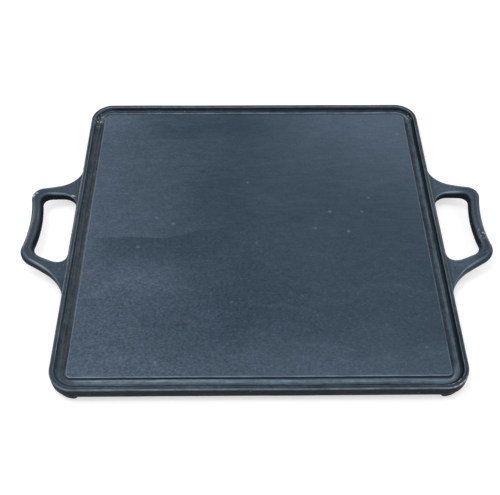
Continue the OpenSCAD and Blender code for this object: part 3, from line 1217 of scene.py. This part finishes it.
class GRIDDLE_OT_feet(bpy.types.Operator):
    """Make the four corner feet"""

    bl_idname = "griddle.feet"
    bl_label = "Feet"

    def execute(self, context):
        plate = context.scene.griddle_plate
        sizes = context.scene.griddle_foot
        sole_radius = plate.corner_radius - sizes.setback
        boss_radius = plate.corner_radius - RIM_BAR - sizes.boss_gap
        centre = Vector((WALL_X - plate.corner_radius, WALL_Y - plate.corner_radius))
        tall = RIM_FOOT - SOLE_Z
        steady_below = 3 * MM
        levels = []
        for step in range(EDGE_STEPS + 1):
            angle = math.pi / 2 * step / EDGE_STEPS
            height = sizes.sole_edge * (1 - math.cos(angle))
            levels.append((height, sizes.sole_edge * (1 - math.sin(angle))))
        levels += [(height, 0.0) for height in spread(sizes.sole_edge, tall, FOOT_STEPS)[1:]]
        corners = (
            ("front_left_foot", -1, -1), ("front_right_foot", 1, -1),
            ("rear_left_foot", -1, 1), ("rear_right_foot", 1, 1),
        )
        rings = []
        for height, shrink in levels:
            share = height / tall
            outline = foot_outline(sole_radius + sizes.taper * share, sizes.heel * share, shrink)
            rings.append((outline, SOLE_Z + height))
        heel_top = sizes.heel * (UNDER_Z - SOLE_Z) / tall
        rings.append((foot_outline(boss_radius, sizes.heel, 0.0), RIM_FOOT))
        rings.append((foot_outline(boss_radius, heel_top, 0.0), UNDER_Z))
        for node, side_x, side_y in corners:
            skin = Skin()
            for outline, height in rings:
                skin.ring([(side_x * (centre.x + p.x), side_y * (centre.y + p.y), height) for p in outline])
            mesh = skin.mesh(node, closed=False, wobble=plate.wobble, steady_below=steady_below)
            place(node, mesh, "cast_skin")
        return {"FINISHED"}


# Stage

FLOOR_HALF = 12.0

# The lamps as name, place, width and length, and share of the lamp power
LAMPS = (
    ("softbox", (0.0, -0.35, 1.5), (2.2, 1.4), 1.0),
    ("key", (-0.25, -0.30, 1.45), (0.40, 0.40), 0.42),
    ("left", (-1.25, 1.10, 0.65), (0.40, 1.00), 0.50),
    ("right", (1.25, 1.05, 0.32), (0.40, 0.50), 0.18),
)

# The camera's sensor and lens in millimetres, its place and aim in metres, and its roll
SENSOR_WIDTH = 36.0
LENS = 56.484
CAMERA_PLACE = Vector((-0.016342, -0.555953, 0.672012))
CAMERA_AIM = Vector((-0.007580, -0.028145, 0.0194))
CAMERA_ROLL = math.radians(0.487)


def set_up(name, data, location, aim=None, roll=0.0):
    """Puts a thing of the stage in the scene, turned towards its aim if it has one."""
    made = bpy.data.objects.new(name, data)
    made.location = location
    if aim is not None:
        made.rotation_mode = "QUATERNION"
        upright = (aim - made.location).to_track_quat("-Z", "Y")
        made.rotation_quaternion = upright @ Quaternion((0, 0, 1), roll)
    bpy.context.scene.collection.objects.link(made)
    return made


def floor_material():
    """Pale floor that keeps the object's shadow and is white to the camera and to reflections."""
    made, tree, shader = new_material(
        "Pale Floor", Base_Color=opaque(bpy.context.scene.griddle_stage.floor),
        Roughness=0.9, Specular_IOR_Level=0.0, Emission_Color=WHITE,
    )
    path = outputs_of(tree, add(tree, "ShaderNodeLightPath"))
    seen = larger(path["Is Camera Ray"], path["Is Glossy Ray"], path["Is Transmission Ray"])
    glow = object_place(tree).length().ramp(0.6, 2.0, 0.54, 1.0)
    connect(tree, seen * glow, shader.inputs["Emission Strength"])
    return made


def room_light():
    """White near the horizon like studio walls, and softer above."""
    world = bpy.data.worlds.new("Studio")
    world.use_nodes = True
    tree = world.node_tree
    background = tree.nodes["Background"]
    direction = Place.of(tree, "ShaderNodeTexCoord", output="Generated")
    strength = direction.parts()[2].ramp(0.12, 0.30, 1.0, bpy.context.scene.griddle_stage.sky)
    background.inputs["Color"].default_value = WHITE
    connect(tree, strength, background.inputs["Strength"])
    bpy.context.scene.world = world


class GRIDDLE_OT_stage(bpy.types.Operator):
    """Make the floor, the lights and the camera"""

    bl_idname = "griddle.stage"
    bl_label = "Stage"

    def execute(self, context):
        scene = context.scene
        scene.view_settings.view_transform = "Standard"
        corners = [(x * FLOOR_HALF, y * FLOOR_HALF, 0) for x, y in ((-1, -1), (1, -1), (1, 1), (-1, 1))]
        mesh = bpy.data.meshes.new("floor")
        mesh.from_pydata(corners, [], [(0, 1, 2, 3)])
        mesh.materials.append(floor_material())
        floor = set_up("floor", mesh, (0, 0, SOLE_Z))
        room_light()

        for name, location, sides, share in LAMPS:
            lamp = bpy.data.lights.new(name, "AREA")
            lamp.shape = "RECTANGLE"
            lamp.size, lamp.size_y = sides
            lamp.energy = scene.griddle_stage.lamp_power * share
            set_up(name, lamp, location, aim=Vector((0, 0, 0)))

        lens = bpy.data.cameras.new("camera")
        lens.sensor_width = SENSOR_WIDTH
        lens.lens = LENS
        scene.camera = set_up("camera", lens, CAMERA_PLACE, CAMERA_AIM, CAMERA_ROLL)
        return {"FINISHED"}


class GRIDDLE_PT_pieces(bpy.types.Panel):
    """Lists the pieces of the griddle plate"""

    bl_idname = "GRIDDLE_PT_pieces"
    bl_label = "Camp griddle plate"
    bl_space_type = "VIEW_3D"
    bl_region_type = "UI"
    bl_category = "Griddle"

    def draw(self, context):
        for operator in OPERATORS:
            self.layout.operator(operator.bl_idname)
        for settings in SETTINGS:
            group = getattr(context.scene, settings)
            box = self.layout.box()
            for key in group.__annotations__:
                box.prop(group, key)


SETTINGS = {
    "griddle_plate": PlateSizes,
    "griddle_handle": HandleSizes,
    "griddle_foot": FootSizes,
    "griddle_colours": FinishColours,
    "griddle_stage": StageSettings,
}
OPERATORS = (
    GRIDDLE_OT_stage, GRIDDLE_OT_cooking_plate, GRIDDLE_OT_gutter, GRIDDLE_OT_rim,
    GRIDDLE_OT_handles, GRIDDLE_OT_feet,
)


def register():
    for settings, group in SETTINGS.items():
        bpy.utils.register_class(group)
        setattr(bpy.types.Scene, settings, PointerProperty(type=group))
    for operator in OPERATORS:
        bpy.utils.register_class(operator)
    bpy.utils.register_class(GRIDDLE_PT_pieces)


def unregister():
    bpy.utils.unregister_class(GRIDDLE_PT_pieces)
    for operator in reversed(OPERATORS):
        bpy.utils.unregister_class(operator)
    for settings, group in SETTINGS.items():
        delattr(bpy.types.Scene, settings)
        bpy.utils.unregister_class(group)


def main():
    register()
    bpy.ops.griddle.stage()
    bpy.ops.griddle.cooking_plate()
    bpy.ops.griddle.gutter()
    bpy.ops.griddle.rim()
    bpy.ops.griddle.handles()
    bpy.ops.griddle.feet()


if __name__ == "__main__":
    main()
